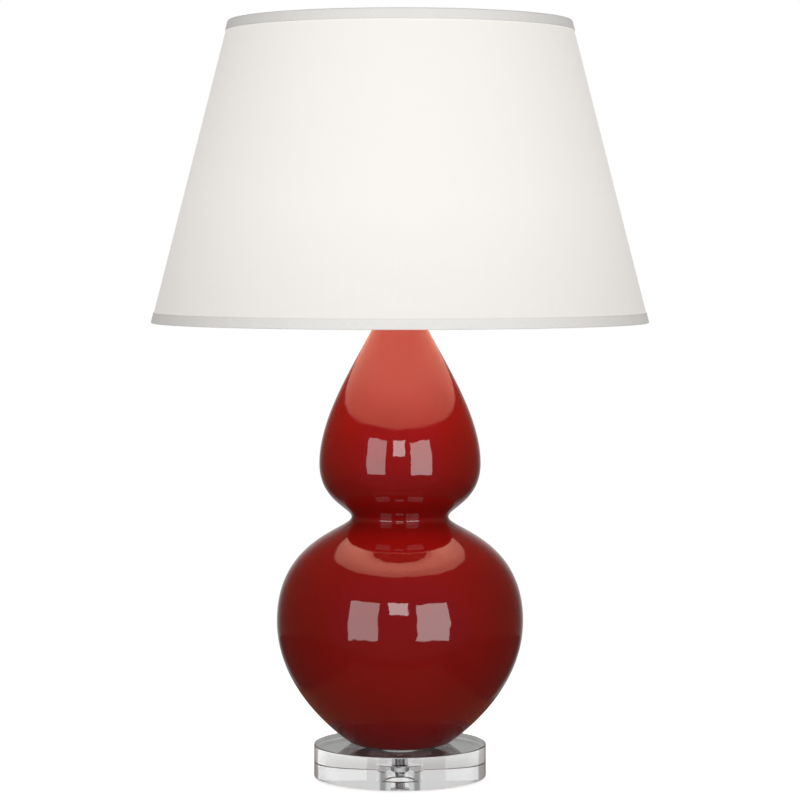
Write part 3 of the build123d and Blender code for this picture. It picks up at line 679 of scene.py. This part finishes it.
def brushed(name, colour, rough, grain=(40, 40, 1800)):
    """Metal with fine scratches, drawn out where grain is low, and a slight cloudiness."""
    look = Finish(name, Metallic=1.0)
    scratches = look.streaks(look.place, grain, 3, roughness=0.6)
    look.mottle(look.noise(90), darker(colour, 0.9), colour)
    look.polish(scratches, rough * 0.75, rough * 1.3)
    look.relief(scratches, 0.004 * MM)
    return look.material


def moulded(name, colour, rough, grain=1500, depth=GRAIN_DEPTH):
    """Plastic, glass or paint with a fine grain and uneven gloss."""
    look = Finish(name)
    look.mottle(look.noise(120), darker(colour, 0.88), colour)
    look.polish(look.noise(200), rough * 0.8, rough * 1.25)
    look.relief(look.noise(grain), depth)
    return look.material


def paper():
    """Brown insulating paper with upright fibres."""
    look = Finish("paper", Roughness=0.8)
    fibres = look.streaks(look.place, (900, 900, 60), 4)
    look.mottle(fibres, (0.13, 0.075, 0.04), (0.22, 0.13, 0.07))
    look.relief(fibres, 0.03 * MM)
    return look.material


def cloth(name, colour, pitch, glow, on_bias=False):
    """A plain weave of fine threads with slubs, lit a little from behind, cut straight or on the bias."""
    look = Finish(
        name, Roughness=0.85, Sheen_Weight=0.15, Sheen_Roughness=0.5, Emission_Color=rgba(GLOW_WHITE)
    )
    vector = look.cloth_uv()
    if on_bias:
        vector = look.add("ShaderNodeMapping", vector, Rotation=(0, 0, math.radians(45))).outputs["Vector"]
    wobble = look.noise(150, 1, vector)
    across, along = (
        look.math("SINE", look.math("ADD", look.math("MULTIPLY", side, 2 * math.pi / pitch), wobble))
        for side in look.split(vector)[:2]
    )
    threads = look.crossed(vector, 25, 1100, 2)
    slubs = look.crossed(vector, 9, 330, 1)
    cover = look.math("MULTIPLY", look.math("ADD", threads, slubs), 0.5)
    share = look.span(cover, (0.7, 1.3), (0, 1))
    look.set(Base_Color=look.ramp(share, [(0, darker(colour, THREAD_SHADE)), (1, colour)]))
    weave = look.math("MULTIPLY", look.math("MULTIPLY", across, along), 0.5)
    look.relief(look.math("ADD", weave, threads), 0.012 * MM)
    look.set(Emission_Strength=glow(look))
    return look.material


def glow_of_shade(look):
    """More light comes through near the bulb's height, and less at the upper rim."""
    height = look.split(look.place)[2]
    grown = look.span(height, BULB_LIGHT_GROWS, (0.50, 0.57))
    faded = look.span(height, SHADE_LIGHT_FADES, (0.0, -0.01))
    return look.math("ADD", grown, faded)


def glow_of_trim(look):
    """Painted shade lines along both hems of the band: less light comes through there, where the cloth lies
    double, and the lines darken its edges.
    """
    down = look.split(look.cloth_uv())[1]
    # painted shade lines at the near and the far hem
    near = look.span(down, NEAR_HEM_SHADE, (-0.05, 0.0))
    far = look.span(down, FAR_HEM_SHADE, (0.0, -0.09))
    return look.math("ADD", look.span(look.noise(60), (0, 1), (0.21, 0.22)), look.math("ADD", near, far))


def lit_lining():
    """White lining that glows with the bulb's light, warmer than the fabric outside."""
    look = Finish("white_lining", Roughness=0.5, Emission_Color=(0.92, 0.46, 0.32, 1))
    clouds = look.noise(35, 3)
    look.mottle(clouds, (0.78, 0.77, 0.74), (0.82, 0.81, 0.78))
    height = look.split(look.place)[2]
    grown = look.span(height, BULB_LIGHT_GROWS, (0.82, 2.2))
    faded = look.span(height, LINING_LIGHT_FADES, (0, -1.4))
    uneven = look.span(clouds, (0, 1), (0.97, 1.03))
    look.set(Emission_Strength=look.math("MULTIPLY", look.math("ADD", grown, faded), uneven))
    look.relief(look.noise(250), GRAIN_DEPTH)
    return look.material


def lit_bulb():
    """Frosted glass, warm and mildly bright."""
    look = Finish("frosted_glass", Roughness=0.35, Emission_Color=(1.0, 0.72, 0.42, 1), IOR=1.5)
    look.mottle(look.noise(50), (0.70, 0.54, 0.35), (0.76, 0.60, 0.40))
    look.set(Emission_Strength=look.span(look.split(look.place)[2], BULB_NECK_TO_BODY, (0.3, 0.6)))
    look.relief(look.noise(1400), 0.006 * MM)
    return look.material


MATERIALS = {
    "red_glaze": glaze(),
    "clear_acrylic": acrylic(),
    # the dark pinkish grey tint paints in the shade of the gap under the foot and the red of the glaze seen
    # in the clear rubber: painted shade and painted reflection
    "clear_rubber": clear("clear_rubber", 1.45, 0.30, tint=(0.50, 0.37, 0.36), transmission=0.85),
    "clear_glass": clear("clear_glass", 1.5, 0.02),
    "zinc_steel": brushed("zinc_steel", (0.40, 0.40, 0.41), 0.22, grain=(500, 500, 500)),
    "nickel": brushed("nickel", (0.68, 0.65, 0.60), 0.24),
    "brass": brushed("brass", (0.78, 0.56, 0.26), 0.30),
    "bulb_metal": brushed("bulb_metal", (0.74, 0.74, 0.75), 0.26, grain=(60, 60, 900)),
    "tungsten": brushed("tungsten", (0.32, 0.31, 0.30), 0.45),
    "black_plastic": moulded("black_plastic", (0.022, 0.022, 0.023), 0.38),
    "phenolic": moulded("phenolic", (0.030, 0.020, 0.014), 0.30, grain=700, depth=0.006 * MM),
    "black_glass": moulded("black_glass", (0.012, 0.010, 0.016), 0.08, grain=300, depth=0.004 * MM),
    "ring_wire": moulded("ring_wire", (0.78, 0.78, 0.76), 0.42, grain=900, depth=0.02 * MM),
    "paper": paper(),
    "white_lining": lit_lining(),
    "frosted_glass": lit_bulb(),
    "white_linen": cloth("white_linen", SHADE_WHITE, SHADE_PITCH, glow_of_shade),
    "white_trim": cloth("white_trim", TRIM_WHITE, TRIM_PITCH, glow_of_trim, on_bias=True),
}

# ---- the pieces ---------------------------------------------------------------------------------


def piece(obj, slot, body, *nodes):
    """Finishes a new piece, hangs it on its body and hides the nodes that it stands for."""
    obj.data.materials.clear()
    obj.data.materials.append(MATERIALS[slot])
    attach(obj, body)
    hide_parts(*nodes)
    return obj


for part in frame["record"]["subparts"]:
    for slot in NODES[part["node"]].material_slots:
        slot.material = MATERIALS[part["material_slot"]]

piece(build_gourd(), "red_glaze", "root", "gourd_body")
piece(build_disc(), "clear_acrylic", "root", "acrylic_base")
piece(build_rod(), "zinc_steel", "root", "threaded_rod")
cloth_sheet = piece(build_fabric(), "white_linen", "shade", "shade_fabric")
upper_trim = piece(build_trim(True), "white_trim", "shade", "shade_trim_top")
lower_trim = piece(build_trim(False), "white_trim", "shade", "shade_trim_bottom")
piece(build_bulb_glass(), "frosted_glass", "bulb", "bulb_glass")
piece(build_bulb_cap(), "bulb_metal", "bulb", "bulb_cap")

# ---- camera and lamps, in metres ----------------------------------------------------------------

CAMERA_LENS = 130.1
CAMERA_SENSOR = 36
CAMERA_PLACE = (0, -2.8074, 0.5233)
CAMERA_DIP = 0.0548  # radians below level
LIGHT_CENTER = Vector((0, 0, 0.25))
LIGHT_DISTANCE = 4.0


def add_camera():
    data = bpy.data.cameras.new("camera")
    data.lens = CAMERA_LENS
    data.sensor_width = CAMERA_SENSOR
    camera = new_object("camera", data)
    camera.location = CAMERA_PLACE
    camera.rotation_euler = (math.pi / 2 - CAMERA_DIP, 0, 0)
    bpy.context.scene.camera = camera


def softbox(name, azimuth, elevation, half_width, half_height, radiance, mirrored=True):
    """A rectangular lamp at angles in degrees seen from LIGHT_CENTER; azimuth 0 is the front, 90 is +X."""
    data = bpy.data.lights.new(name, "AREA")
    data.shape = "RECTANGLE"
    data.size = 2 * LIGHT_DISTANCE * math.tan(math.radians(half_width))
    data.size_y = 2 * LIGHT_DISTANCE * math.tan(math.radians(half_height))
    data.energy = math.pi * data.size * data.size_y * radiance
    light = new_object(name, data)
    turn, rise = math.radians(azimuth), math.radians(elevation)
    away = Vector((math.sin(turn) * math.cos(rise), -math.cos(turn) * math.cos(rise), math.sin(rise)))
    light.location = LIGHT_CENTER + away * LIGHT_DISTANCE
    light.rotation_mode = "QUATERNION"
    light.rotation_quaternion = away.to_track_quat("Z", "Y")
    light.visible_camera = False
    light.visible_glossy = mirrored
    light.visible_transmission = mirrored


add_camera()
softbox("softbox_left", -34, 5.3, half_width=13.8, half_height=18.2, radiance=3.0)
softbox("softbox_right", 30.5, 4.3, half_width=15.3, half_height=18.2, radiance=3.7)
softbox("softbox_middle", -1.5, 17.5, half_width=8.8, half_height=7, radiance=5.2)
softbox("fill_behind", 180, 12, half_width=20, half_height=18, radiance=3.6, mirrored=False)

# ---- floor and world, in metres -----------------------------------------------------------------

FLOOR_R = 0.82
FLOOR_FADE = (0.35, FLOOR_R - 0.05)  # distances over which the floor turns plain white
FLOOR_ALBEDO = 0.45
NEAR_FLOOR_GLOW = 0.72

# what mirrors see of the floor: colours and greys, and the x or y over which each begins or ends
TABLETOP = (0.16, 0.085, 0.057)
TABLETOP_LEFT = (-0.20, -0.18)
TABLETOP_RIGHT = (0.15, 0.17)
TABLETOP_FRONT = (-0.27, -0.25)
FRONT_FLOOR = (0.09, 0.09, 0.095)
FRONT_FLOOR_ENDS = (-0.40, -0.27)
SIDE_FLOOR = (0.05, 0.05, 0.04)
BACK_FLOOR = 0.5
BACK_FLOOR_SHARE = ((0.6, 0.0), (0.65, 0.03), (0.71, 0.3), (0.85, 0.82), (1.0, 0.95))
BACK_STRIP = 0.11  # half the width of the floor that counts as straight behind
TINY = 0.001

# what shows of the floor through the clear disc, by the distance from the axis or the y, with painted shadow
# under the disc and straight behind it
DISC_EDGE = (0.083, 0.087)
COUNTERBORE_EDGE = (0.015, 0.018)
DISC_MIDDLE = (0.05, 0.06)
MIDDLE_GLOW = 0.7
UNDER_DISC_BACK = (0.03, 0.07)
UNDER_DISC_SHADOW_GLOW = (0.05, 0.15)
OPEN_FLOOR_ALBEDO = 0.12
UNDER_DISC_SHADOW_ALBEDO = 0.05
STRAIGHT_BEHIND = (0.45, 0.8)
ASIDE_GLOW = 0.32
BEHIND_DISC_SHADOW_GLOW = ((0.085, 0.42), (0.123, 0.49), (0.161, 0.60), (0.19, 0.72), (0.23, 0.83))

# the world, by the y of a direction: -1 looks at the room in front, 1 at the white behind
BACKDROP_SHARE = (
    (0.60, 0.0), (0.743, 0.01), (0.809, 0.035), (0.866, 0.09), (0.927, 0.24), (0.974, 0.46), (1.0, 0.56),
)
ROOM_TURNS = (-0.6, -0.2)
ROOM_AHEAD = (0.08, 0.08, 0.115)
ROOM_ASIDE = (0.08, 0.078, 0.055)
AMBIENT_TURNS = (-0.25, 0.25)
AMBIENT = (0.115, 0.16)
THROUGH_TURNS = (0.45, 0.8)
THROUGH = (0.3, 0.66)


class Studio(Nodes):
    """The nodes of the floor or the world, which answer each kind of ray in their own way."""

    def __init__(self, tree):
        super().__init__(tree)
        tree.nodes.clear()
        self.rays = self.add("ShaderNodeLightPath").outputs

    def blend(self, share, no, yes):
        """A colour that goes from no to yes as share goes from 0 to 1."""
        sides = [side if isinstance(side, bpy.types.NodeSocket) else rgba(side) for side in (no, yes)]
        return self.add("ShaderNodeMixRGB", share, *sides).outputs["Color"]

    def answer(self, lit, gloss, through, seen):
        """What diffuse, glossy, transmitted and camera rays get. A transmitted ray is a glossy one too."""
        result = self.blend(self.rays["Is Glossy Ray"], lit, gloss)
        result = self.blend(self.rays["Is Transmission Ray"], result, through)
        return self.blend(self.rays["Is Camera Ray"], result, seen)


def floor_in_mirrors(look, x, y):
    """A tabletop round the lamp, a dim floor beside and before it, and a pale one towards the back."""
    behind = look.math("MAXIMUM", y, 0.0)
    aside = look.math("MAXIMUM", look.math("SUBTRACT", look.math("ABSOLUTE", x), BACK_STRIP), TINY)
    straight = look.math("DIVIDE", behind, look.math("ADD", behind, aside))
    floor = look.blend(look.curve(straight, BACK_FLOOR_SHARE), SIDE_FLOOR, BACK_FLOOR)
    floor = look.blend(look.step(y, FRONT_FLOOR_ENDS, (1, 0)), floor, FRONT_FLOOR)
    across = look.math("MULTIPLY", look.step(x, TABLETOP_LEFT), look.step(x, TABLETOP_RIGHT, (1, 0)))
    tabletop = look.math("MULTIPLY", across, look.step(y, TABLETOP_FRONT))
    return look.blend(tabletop, floor, TABLETOP)


def floor_through_disc(look, y, away, under_disc_shadow):
    """Painted shadow: dark under the disc, and straight behind it a shadow that lightens with distance;
    bright in its counterbore, and paler straight behind it than beside it.
    """
    behind = look.step(look.math("DIVIDE", y, away), STRAIGHT_BEHIND)
    floor = look.blend(behind, ASIDE_GLOW, look.curve(away, BEHIND_DISC_SHADOW_GLOW))
    floor = look.blend(look.step(away, DISC_MIDDLE), MIDDLE_GLOW, floor)
    return look.blend(under_disc_shadow, floor, look.blend(look.step(y, UNDER_DISC_BACK), *UNDER_DISC_SHADOW_GLOW))


def studio_floor():
    """A pale round floor that keeps the lamp's shadow and fades into the white behind it."""
    mesh = bpy.data.meshes.new("floor")
    edit = bmesh.new()
    bmesh.ops.create_circle(edit, cap_ends=True, radius=FLOOR_R, segments=128)
    edit.to_mesh(mesh)
    edit.free()
    floor = new_object("floor", mesh)
    material = bpy.data.materials.new("floor")
    material.use_nodes = True
    mesh.materials.append(material)
    look = Studio(material.node_tree)
    place = look.add("ShaderNodeTexCoord").outputs["Object"]
    x, y, _ = look.split(place)
    away = look.add("ShaderNodeVectorMath", place, operation="LENGTH").outputs["Value"]
    fade = look.step(away, FLOOR_FADE)
    # painted shadow under the disc, for rays that reach the floor through it
    under_disc_shadow = look.math("MULTIPLY", look.step(away, DISC_EDGE, (1, 0)), look.step(away, COUNTERBORE_EDGE))
    glow = look.answer(
        lit=0.0,
        gloss=floor_in_mirrors(look, x, y),
        through=floor_through_disc(look, y, away, under_disc_shadow),
        seen=look.blend(fade, NEAR_FLOOR_GLOW, 1.0),
    )
    albedo = look.answer(
        lit=FLOOR_ALBEDO,
        gloss=0.0,
        through=look.blend(under_disc_shadow, OPEN_FLOOR_ALBEDO, UNDER_DISC_SHADOW_ALBEDO),
        seen=look.blend(fade, 1.0, 0.0),
    )
    emission = look.add("ShaderNodeEmission", glow)
    diffuse = look.add("ShaderNodeBsdfDiffuse", albedo)
    both = look.add("ShaderNodeAddShader", emission.outputs[0], diffuse.outputs[0])
    look.add("ShaderNodeOutputMaterial", both.outputs[0])


def studio_world():
    """White behind the lamp, and a dim room in front of it."""
    world = bpy.data.worlds.new("world")
    world.use_nodes = True
    bpy.context.scene.world = world
    look = Studio(world.node_tree)
    y = look.split(look.add("ShaderNodeTexCoord").outputs["Generated"])[1]
    room = look.blend(look.step(y, ROOM_TURNS), ROOM_AHEAD, ROOM_ASIDE)
    colour = look.answer(
        lit=look.blend(look.step(y, AMBIENT_TURNS), *AMBIENT),
        gloss=look.blend(look.curve(y, BACKDROP_SHARE), room, 1.0),
        through=look.blend(look.step(look.math("ABSOLUTE", y), THROUGH_TURNS), *THROUGH),
        seen=1.0,
    )
    background = look.add("ShaderNodeBackground", colour)
    look.add("ShaderNodeOutputWorld", background.outputs[0])


studio_floor()
studio_world()
bpy.context.scene.view_settings.view_transform = "Standard"
